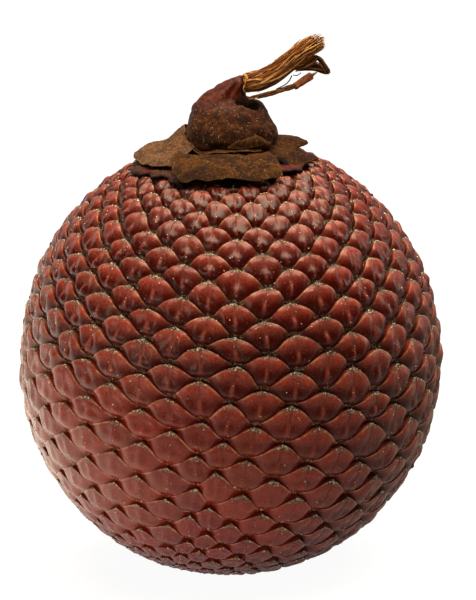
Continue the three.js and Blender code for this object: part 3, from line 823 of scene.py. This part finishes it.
def make_flake():
    """A flat flake of stalk skin with a narrow neck at its upper end."""
    along = np.array([0, 0.15, 0.6, 1.4, 2.2, 2.5, 2.68, 3.0, 3.4])
    half = np.array([0.3, 0.42, 0.46, 0.5, 0.52, 0.46, 0.2, 0.12, 0.06])
    lean = math.radians(31)
    x, z = 8.6 + along * math.cos(lean), 57.92 + along * math.sin(lean)
    rows = []
    for side in (-1, -0.5, 0, 0.5, 1):
        rows.append(np.stack([x - side * half * math.sin(lean), -1.0 - 0.12 * (1 - side**2) + 0 * x, z + side * half * math.cos(lean)], -1))
    return torn_sheet("bark_flake_looks", rows, flake_material(), 0.2, (0.06, 0.06, 0, 0),
                      ((1.0, 0.06), (0.3, 0.03)), rows=18, columns=70)


def make_thread():
    route = bent([(6.5, -1, 57.75), (7.5, -1, 58.2), (8.1, -0.9, 58.7), (8.45, -0.8, 59.3)], 30, 0.02)
    return make_strands("stalk_thread_looks", [(route, tapered(30, 0.075, 0.8, 0.8), 0.1, 1.0)], thread_material(), 8)


# ------------------------------------------------------------------------------------------ materials
class Nodes:
    """A short way to write a node tree."""

    def __init__(self, name):
        self.material = bpy.data.materials.new(name)
        self.material.use_nodes = True
        self.tree = self.material.node_tree
        self.tree.nodes.clear()

    def link(self, source, target):
        self.tree.links.new(source, target)

    def node(self, kind, **settings):
        made = self.tree.nodes.new(kind)
        for key, value in settings.items():
            setattr(made, key, value)
        return made

    def set(self, socket, value):
        if isinstance(value, bpy.types.NodeSocket):
            self.link(value, socket)
        else:
            socket.default_value = value

    def attribute(self, name):
        return self.node("ShaderNodeAttribute", attribute_name=name).outputs["Fac"]

    def math(self, operation, a, b=0.0, c=0.0, clamp=False):
        made = self.node("ShaderNodeMath", operation=operation, use_clamp=clamp)
        for socket, value in zip(made.inputs, (a, b, c)):
            self.set(socket, value)
        return made.outputs[0]

    def ramp(self, value, low, high, start=0.0, end=1.0):
        """value mapped smoothly from low..high to start..end."""
        made = self.node("ShaderNodeMapRange", interpolation_type="SMOOTHSTEP")
        for key, item in (("Value", value), ("From Min", low), ("From Max", high), ("To Min", start), ("To Max", end)):
            self.set(made.inputs[key], item)
        return made.outputs[0]

    def mix(self, share, a, b, blend="MIX"):
        made = self.node("ShaderNodeMix", data_type="RGBA", blend_type=blend)
        self.set(made.inputs["Factor"], share)
        self.set(made.inputs["A"], a)
        self.set(made.inputs["B"], b)
        return made.outputs["Result"]

    def noise(self, scale, detail=3.0, roughness=0.55, distortion=0.0, stretch=None, out="Fac"):
        """Noise over the object, scale in cells per millimetre."""
        place = self.node("ShaderNodeTexCoord").outputs["Object"]
        if stretch:
            mapped = self.node("ShaderNodeMapping")
            mapped.inputs["Scale"].default_value = stretch
            self.link(place, mapped.inputs["Vector"])
            place = mapped.outputs[0]
        made = self.node("ShaderNodeTexNoise")
        self.link(place, made.inputs["Vector"])
        values = (("Scale", scale / MM), ("Detail", detail), ("Roughness", roughness), ("Distortion", distortion))
        for key, value in values:
            made.inputs[key].default_value = value
        return made.outputs[out]

    def cells(self, scale, feature="F1", out="Distance"):
        place = self.node("ShaderNodeTexCoord").outputs["Object"]
        made = self.node("ShaderNodeTexVoronoi", feature=feature)
        self.link(place, made.inputs["Vector"])
        made.inputs["Scale"].default_value = scale / MM
        return made.outputs[out]

    def near(self, place, outer, inner):
        """1 within inner of a place, falling to 0 at outer, all in millimetres."""
        made = self.node("ShaderNodeVectorMath", operation="DISTANCE")
        self.link(self.node("ShaderNodeTexCoord").outputs["Object"], made.inputs[0])
        made.inputs[1].default_value = [value * MM for value in place]
        return self.ramp(made.outputs["Value"], outer * MM, inner * MM)

    def bump(self, height, distance, strength=1.0, normal=None):
        made = self.node("ShaderNodeBump")
        made.inputs["Strength"].default_value = strength
        made.inputs["Distance"].default_value = distance * MM
        self.link(height, made.inputs["Height"])
        if normal:
            self.link(normal, made.inputs["Normal"])
        return made.outputs[0]

    def surface(self, **inputs):
        shader = self.node("ShaderNodeBsdfPrincipled")
        for key, value in inputs.items():
            self.set(shader.inputs[key.replace("_", " ")], value)
        output = self.node("ShaderNodeOutputMaterial")
        self.link(shader.outputs[0], output.inputs["Surface"])
        return self.material


def rgb(red, green, blue):
    """A colour given as it looks on screen, from 0 to 255, as the linear colour that a shader takes."""
    def linear(value):
        value /= 255
        return value / 12.92 if value <= 0.04045 else ((value + 0.055) / 1.055) ** 2.4
    return (linear(red), linear(green), linear(blue), 1.0)


def scale_material():
    m = Nodes("buriti_scale")
    across, up, edge, pit, tone, relief = (m.attribute(key) for key in ScaleSkin.KEYS)
    fine = m.noise(1.6, 5)
    broad = m.noise(0.09, 3)
    grit = m.noise(5.0, 5, 0.75)

    base = m.mix(tone, rgb(118, 24, 6), rgb(88, 13, 3))
    base = m.mix(m.ramp(broad, 0.35, 0.7, 0, 0.5), base, rgb(120, 40, 12))
    base = m.mix(m.ramp(fine, 0.45, 0.75, 0, 0.5), base, rgb(56, 5, 0))
    mottle = m.noise(3.2, 5, 0.7)
    base = m.mix(m.ramp(mottle, 0.5, 0.7, 0, 0.4), base, rgb(146, 46, 20))
    base = m.mix(m.ramp(mottle, 0.48, 0.3, 0, 0.6), base, rgb(46, 6, 1))
    beside = m.math("ABSOLUTE", across)
    # Painted shade: the lower part of each scale, which faces down, is darkened towards near-black red, less along its
    # keel and where the relief is low.
    flank_shade = m.math("MULTIPLY", m.ramp(up, 0.78, 0.34), m.ramp(relief, 0.55, 1, 0.1, 0.85))
    base = m.mix(m.math("MULTIPLY", flank_shade, m.ramp(beside, 0.0, 0.16, 0.62, 1)), base, rgb(40, 1, 0))
    # Painted highlight: a pink sheen over the upper part of each scale and a pale streak down its keel lower on it,
    # stronger where the relief is high.
    painted_sheen = m.math("MULTIPLY", m.ramp(up, 0.42, 0.7), m.ramp(mottle, 0.3, 0.6, 0.4, 1))
    keel = m.math("MULTIPLY", m.ramp(beside, 0.11, 0.03), m.math("MULTIPLY", m.ramp(up, 0.15, 0.35), m.ramp(up, 0.66, 0.48)))
    painted_sheen = m.math("MULTIPLY", m.math("MAXIMUM", painted_sheen, keel), m.ramp(relief, 0.6, 0.95, 0.06, 0.26))
    base = m.mix(painted_sheen, base, rgb(150, 84, 74))
    # Painted shade: darker red in the dents on both sides of the keel, high on the scales of the lower body.
    dent = m.math("MULTIPLY", m.ramp(beside, 0.04, 0.16), m.ramp(beside, 0.46, 0.3))
    dent = m.math("MULTIPLY", dent, m.math("MULTIPLY", m.ramp(up, 0.5, 0.7), m.ramp(relief, 0.8, 0.5, 0, 0.8)))
    base = m.mix(dent, base, rgb(98, 14, 2))
    # Painted shade: a dark line down the crease between a scale's two lobes, on its upper part where the relief is
    # high.
    crease = m.math("MULTIPLY", m.ramp(beside, 0.01, 0.07), 1, clamp=True)
    crease = m.math("SUBTRACT", 1, crease)
    crease = m.math("MULTIPLY", crease, m.math("MULTIPLY", m.ramp(relief, 0.5, 0.8), m.ramp(up, 0.3, 0.6)))
    base = m.mix(m.math("MULTIPLY", crease, 0.35), base, rgb(34, 6, 2))
    margin = m.ramp(edge, 0.94, 0.985)
    margin = m.math("MULTIPLY", margin, m.ramp(m.noise(1.1, 5), 0.42, 0.6, 0.1, 0.85))
    base = m.mix(margin, base, rgb(152, 102, 72))

    ragged = m.math("MULTIPLY_ADD", grit, 0.5, -0.25)
    deep = m.ramp(m.math("ADD", pit, ragged), 0.5, 0.76)
    tip = m.math("MULTIPLY", m.ramp(m.math("ADD", up, ragged), 0.8, 0.93), m.ramp(relief, 0.15, 0.8, 0.2, 1))
    tip = m.math("MULTIPLY", tip, m.ramp(m.noise(0.3, 2), 0.36, 0.58, 0.4, 1))
    dirt = m.math("MAXIMUM", deep, tip)
    grains = m.cells(7.0, out="Color")
    dirt_colour = m.mix(m.ramp(grains, 0.25, 0.6), rgb(36, 19, 10), rgb(114, 92, 74))
    dirt_colour = m.mix(m.ramp(grains, 0.68, 0.82), dirt_colour, rgb(196, 182, 160))
    base = m.mix(dirt, base, dirt_colour)
    # Painted shade: near black at the bottom of the pits where four scales meet.
    base = m.mix(m.ramp(pit, 0.85, 1.0, 0, 0.75), base, rgb(14, 5, 2))
    dust = m.math("MULTIPLY", m.ramp(m.cells(2.6), 0.17, 0.1), m.ramp(m.noise(0.3, 2), 0.4, 0.6, 0.25, 0.9))
    base = m.mix(dust, base, rgb(140, 96, 66))

    fan = m.math("DIVIDE", across, m.math("MULTIPLY_ADD", up, -2.0, 2.3))
    striae = m.math("SINE", m.math("MULTIPLY_ADD", fan, 75.0, m.math("MULTIPLY", fine, 9.0)))
    rough = m.ramp(fine, 0.3, 0.7, 0.25, 0.34)
    rough = m.math("ADD", rough, m.math("MULTIPLY", m.math("MAXIMUM", dirt, crease), 0.5), clamp=True)
    normal = m.bump(striae, 0.002, 0.8)
    normal = m.bump(fine, 0.06, 0.4, normal)
    normal = m.bump(m.math("MULTIPLY", dirt, grains), 0.12, 0.8, normal)
    return m.surface(Base_Color=base, Roughness=rough, Normal=normal, Specular_IOR_Level=0.27)


def grit_material():
    m = Nodes("grit")
    tone = m.attribute("tone")
    dark = m.mix(m.ramp(tone, 0.0, 0.7), rgb(30, 20, 12), rgb(124, 102, 80))
    colour = m.mix(m.ramp(tone, 0.62, 0.82), dark, rgb(226, 214, 190))
    colour = m.mix(m.ramp(m.noise(3, 3), 0.4, 0.7, 0, 0.4), colour, rgb(60, 45, 25))
    return m.surface(Base_Color=colour, Roughness=0.75)


def crusted(m, base, amount):
    """Adds a fine light and dark crust over a colour. Returns the colour and the crust's noise."""
    grains = m.noise(2.6, 6, 0.8)
    chosen = m.ramp(m.cells(3.4, out="Color"), 0.44, 0.56)
    specks = m.math("MULTIPLY", m.ramp(m.cells(3.4), 0.2, 0.12), chosen)
    colour = m.mix(m.ramp(grains, 0.5, 0.38, 0, 0.8), base, rgb(26, 12, 3))
    colour = m.mix(m.ramp(grains, 0.55, 0.68, 0, amount), colour, rgb(158, 114, 64))
    colour = m.mix(m.math("MULTIPLY", specks, min(1, 1.4 * amount)), colour, rgb(206, 186, 152))
    return colour, grains


def husk_material(name, brightness, shadow_spot=None, pale=0.0):
    """The lobes' dry, gritty husk: olive brown, paler on its torn rims, with a pale grey film where asked. Its
    underside is darkened as painted shade, and a place, if given, gets a painted near-black shadow around it.
    """
    m = Nodes(name)
    rim, under = m.attribute("rim"), m.attribute("under")
    broad, fine = m.noise(0.45, 4), m.noise(1.7, 5)
    base = m.mix(m.ramp(broad, 0.38, 0.62), rgb(46, 20, 2), rgb(94, 54, 14))
    base = m.mix(m.ramp(fine, 0.42, 0.66, 0, 0.7), base, rgb(56, 24, 8))
    base, grains = crusted(m, base, 0.38)
    base = m.mix(m.math("MULTIPLY", rim, 0.4), base, rgb(126, 90, 54))
    if pale:
        base = m.mix(m.ramp(grains, 0.4, 0.62, 0.3 * pale, pale), base, rgb(132, 106, 86))
    # Painted shade: the sheet's underside is darkened.
    base = m.mix(m.math("MULTIPLY", under, 0.7), base, rgb(30, 14, 6))
    # Painted shadow: near black around the given place, where the lobe lies in shade.
    if shadow_spot:
        base = m.mix(m.near(shadow_spot, 1.5, 0.7), base, rgb(4, 2, 1))
    scaled = m.mix(1.0, base, (brightness, brightness, brightness, 1), "MULTIPLY")
    normal = m.bump(fine, 0.15, 0.6)
    normal = m.bump(grains, 0.1, 0.8, normal)
    return m.surface(Base_Color=scaled, Roughness=0.85, Normal=normal, Specular_IOR_Level=0.08)


def disc_material():
    """The disc: maroon, with pale crust on its -X side. Its rim is painted black as shade, and a painted shadow darkens
    it under the front lobe.
    """
    m = Nodes("disc")
    rim = m.attribute("rim")
    fine, broad = m.noise(1.6, 5), m.noise(0.3, 3)
    parts = m.node("ShaderNodeSeparateXYZ")
    m.link(m.node("ShaderNodeTexCoord").outputs["Object"], parts.inputs[0])
    left = m.ramp(parts.outputs["X"], 0.002, -0.008)
    base = m.mix(m.ramp(fine, 0.35, 0.65), rgb(34, 4, 1), rgb(92, 20, 10))
    crust, grains = crusted(m, m.mix(fine, rgb(24, 8, 3), rgb(76, 34, 18)), 0.9)
    base = m.mix(m.math("MULTIPLY", left, m.ramp(broad, 0.35, 0.55, 0.3, 1)), base, crust)
    # Painted shade: the rim is darkened to near black.
    base = m.mix(m.math("MULTIPLY", rim, 0.8), base, rgb(10, 4, 2))
    # Painted shadow: near black towards the front, under the front lobe.
    shadow_under_front_lobe = m.ramp(parts.outputs["Y"], -9.2 * MM, -10.2 * MM, 0, 0.92)
    base = m.mix(shadow_under_front_lobe, base, rgb(8, 4, 2))
    normal = m.bump(fine, 0.15, 0.6)
    normal = m.bump(grains, 0.1, 0.7, normal)
    return m.surface(Base_Color=base, Roughness=0.6, Normal=normal, Specular_IOR_Level=0.1)


def cup_material():
    """Leathery skin: grey brown and gritty low down, smoother and redder up the horn, with painted shade near black in
    the recess beside the horn.
    """
    m = Nodes("cup_leather")
    horn, rim, hole = m.attribute("horn"), m.attribute("rim"), m.attribute("hole")
    broad, fine = m.noise(0.4, 4), m.noise(1.5, 5)
    mottle = m.noise(1.2, 5, 0.7)
    base = m.mix(m.ramp(broad, 0.35, 0.65), rgb(29, 8, 2), rgb(62, 31, 12))
    base = m.mix(m.ramp(mottle, 0.5, 0.36, 0, 0.8), base, rgb(24, 7, 2))
    base = m.mix(m.ramp(mottle, 0.55, 0.7, 0, 0.5), base, rgb(106, 64, 36))
    red = m.mix(m.ramp(fine, 0.4, 0.65), rgb(48, 6, 1), rgb(96, 28, 12))
    base = m.mix(m.ramp(m.noise(0.9, 4), 0.5, 0.68, 0, 0.6), base, red)
    base, grains = crusted(m, base, 0.4)
    base = m.mix(m.math("MULTIPLY", horn, m.ramp(fine, 0.25, 0.6, 0.95, 0.6)), base, red)
    base = m.mix(m.math("MULTIPLY", rim, 0.45), base, rgb(104, 58, 38))
    # Painted shade: near black in the recess beside the horn.
    base = m.mix(m.ramp(hole, 0.12, 0.4, 0, 0.97), base, rgb(8, 4, 2))
    rough = m.ramp(horn, 0, 1, 0.72, 0.42)
    normal = m.bump(fine, 0.15, 0.5)
    normal = m.bump(grains, 0.08, 0.7, normal)
    return m.surface(Base_Color=base, Roughness=rough, Normal=normal, Specular_IOR_Level=0.09)


def fibre_material(name, brightness):
    """Dry fibres, each of its own shade, streaked along its length."""
    m = Nodes(name)
    tone = m.attribute("tone")
    fine = m.noise(1.5, 5)
    base = m.mix(m.ramp(tone, 0.1, 0.6), rgb(58, 24, 5), rgb(150, 88, 32))
    base = m.mix(m.ramp(tone, 0.6, 1.0), base, rgb(216, 162, 98))
    base = m.mix(m.ramp(fine, 0.45, 0.68, 0, 0.6), base, rgb(84, 38, 10))
    base = m.mix(1.0, base, (brightness, brightness, brightness, 1), "MULTIPLY")
    normal = m.bump(m.noise(5, 3), 0.03, 0.6)
    return m.surface(Base_Color=base, Roughness=0.6, Normal=normal, Specular_IOR_Level=0.2)


def flake_material():
    """A thin translucent-looking flake, orange brown."""
    m = Nodes("bark_flake")
    fine = m.noise(1.6, 5)
    base = m.mix(m.ramp(fine, 0.35, 0.65), rgb(116, 56, 18), rgb(168, 94, 42))
    base = m.mix(m.math("MULTIPLY", m.attribute("rim"), 0.5), base, rgb(104, 48, 18))
    base, grains = crusted(m, base, 0.2)
    return m.surface(Base_Color=base, Roughness=0.55, Normal=m.bump(grains, 0.05, 0.6))


def thread_material():
    m = Nodes("dark_thread")
    base = m.mix(m.noise(2, 4), rgb(24, 18, 14), rgb(70, 56, 46))
    return m.surface(Base_Color=base, Roughness=0.5, Normal=m.bump(m.noise(6, 3), 0.02, 0.5))


# ------------------------------------------------------------------------------------------ floor, light, camera
def make_floor():
    """White as seen. The light that it throws back on the fruit fades out towards the dark studio in front."""
    half = 3000
    corners = [(-half, -half, 0), (half, -half, 0), (half, half, 0), (-half, half, 0)]
    floor = make_mesh("floor", corners, [(0, 1, 2, 3)])
    m = Nodes("white_floor")

    def diffuse(colour):
        made = m.node("ShaderNodeBsdfDiffuse")
        m.set(made.inputs["Color"], colour)
        return made.outputs[0]

    def blend(kind, *sources):
        made = m.node(kind)
        for socket, source in zip(made.inputs, sources):
            m.link(source, socket)
        return made.outputs[0]

    glow = m.node("ShaderNodeEmission")
    glow.inputs["Strength"].default_value = 0.95
    white = blend("ShaderNodeAddShader", glow.outputs[0], diffuse((0.08, 0.08, 0.08, 1)))
    parts = m.node("ShaderNodeSeparateXYZ")
    m.link(m.node("ShaderNodeTexCoord").outputs["Object"], parts.inputs[0])
    path = m.node("ShaderNodeLightPath").outputs
    depth = m.math("MULTIPLY_ADD", path["Is Glossy Ray"], -95 * MM, parts.outputs["Y"])
    near = m.ramp(depth, -165 * MM, -110 * MM)
    bright = m.math("MULTIPLY", near, m.ramp(parts.outputs["X"], -40 * MM, 40 * MM, 1, 0.15))
    sweep = m.mix(bright, (0.04, 0.04, 0.04, 1), (0.7, 0.7, 0.7, 1))
    seen = m.math("MAXIMUM", path["Is Camera Ray"], path["Is Transmission Ray"])
    output = m.node("ShaderNodeOutputMaterial")
    lit = m.node("ShaderNodeEmission")
    m.link(sweep, lit.inputs["Color"])
    lit.inputs["Strength"].default_value = 0.92
    unseen = blend("ShaderNodeAddShader", diffuse(sweep), lit.outputs[0])
    m.link(blend("ShaderNodeMixShader", seen, unseen, white), output.inputs["Surface"])
    floor.data.materials.append(m.material)


def make_world():
    """White behind the fruit. It reflects that backdrop, but a dark studio in front."""
    world = bpy.data.worlds.new("studio")
    bpy.context.scene.world = world
    world.use_nodes = True
    tree = world.node_tree
    tree.nodes.clear()

    def background(strength):
        made = tree.nodes.new("ShaderNodeBackground")
        made.inputs["Strength"].default_value = strength
        return made

    def blend(share, first, second):
        made = tree.nodes.new("ShaderNodeMixShader")
        for socket, source in zip(made.inputs, (share, first, second)):
            tree.links.new(source, socket)
        return made.outputs[0]

    path = tree.nodes.new("ShaderNodeLightPath")
    parts = tree.nodes.new("ShaderNodeSeparateXYZ")
    tree.links.new(tree.nodes.new("ShaderNodeTexCoord").outputs["Generated"], parts.inputs[0])
    behind = tree.nodes.new("ShaderNodeMapRange")
    behind.inputs["From Min"].default_value = 0.1
    behind.inputs["From Max"].default_value = 0.7
    tree.links.new(parts.outputs["Y"], behind.inputs["Value"])
    white, dim, dark = background(0.7), background(0.1), background(0.008)
    mirrored = blend(behind.outputs[0], dark.outputs[0], white.outputs[0])
    unseen = blend(path.outputs["Is Glossy Ray"], dim.outputs[0], mirrored)
    output = tree.nodes.new("ShaderNodeOutputWorld")
    tree.links.new(blend(path.outputs["Is Camera Ray"], unseen, background(1.0).outputs[0]), output.inputs["Surface"])


def make_lamp(name, place, size, power, colour=(1.0, 0.88, 0.64), aim=(0, 0, 28)):
    data = bpy.data.lights.new(name, "AREA")
    data.color = colour
    data.shape, data.size, data.size_y, data.energy = "RECTANGLE", size[0] * MM, size[1] * MM, power
    lamp = bpy.data.objects.new(name, data)
    lamp.location = Vector(place) * MM
    lamp.rotation_euler = (Vector(aim) * MM - lamp.location).to_track_quat("-Z", "Y").to_euler()
    bpy.context.scene.collection.objects.link(lamp)


CAMERA_DISTANCE = 500
CAMERA_ELEVATION = math.radians(14)
CAMERA_ROLL = math.radians(2.3)
FRAME_HEIGHT = 71.6  # of the picture, at the fruit's middle
FRAME_SHIFT = (0.81, 6.68)  # from the fruit's middle to the picture's, right and up


def make_camera():
    data = bpy.data.cameras.new("camera")
    data.sensor_width = 36
    data.lens = 36 * CAMERA_DISTANCE / FRAME_HEIGHT
    data.clip_start, data.clip_end = 0.01, 20
    right = Vector((1, 0, 0))
    back = Vector((0, -math.cos(CAMERA_ELEVATION), math.sin(CAMERA_ELEVATION)))
    up = back.cross(right)
    image_right = math.cos(CAMERA_ROLL) * right - math.sin(CAMERA_ROLL) * up
    image_up = math.sin(CAMERA_ROLL) * right + math.cos(CAMERA_ROLL) * up
    middle = Vector((0, 0, CENTRE_Z)) + FRAME_SHIFT[0] * image_right + FRAME_SHIFT[1] * image_up
    turn = Matrix((image_right, image_up, back)).transposed().to_4x4()
    camera = bpy.data.objects.new("camera", data)
    camera.matrix_world = Matrix.Translation((middle + CAMERA_DISTANCE * back) * MM) @ turn
    bpy.context.scene.collection.objects.link(camera)
    bpy.context.scene.camera = camera


# ------------------------------------------------------------------------------------------ the scene
def put(piece, slot, *nodes):
    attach(piece, "root")
    if nodes:
        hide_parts(*nodes)
    return piece


bpy.context.scene.view_settings.view_transform = "Standard"
make_camera()
make_world()
make_floor()
make_lamp("top", (50, 20, 450), (520, 560), 7.9)
make_lamp("left", (-320, -350, 60), (240, 240), 0.62)
make_lamp("left_rim", (-400, 260, 160), (160, 300), 0.2)
make_lamp("right_rim", (430, 130, 110), (80, 300), 0.34, (1.0, 0.9, 0.8))

body, grit_spots = make_fruit_body()
put(body, "scales", "fruit_body")
put(make_grit("grit", grit_spots), "husk")
put(make_disc(), "disc", "perianth_disc")
put(make_front_lobe(), "husk", "front_lobe")
put(make_left_lobe(), "husk", "left_lobe")
put(make_right_lobe(), "husk", "right_lobe")
put(make_collar(), "husk", "calyx_collar")
put(make_cup(), "cup", "calyx_cup")
put(make_flap(), "husk", "fold_flap")
put(make_bundle(), "fibre", "stalk_fibres")
put(make_side_strand(), "fibre", "side_strand")
put(make_lower_strand(), "fibre", "lower_strand")
put(make_flake(), "flake", "bark_flake")
put(make_thread(), "thread", "stalk_thread")
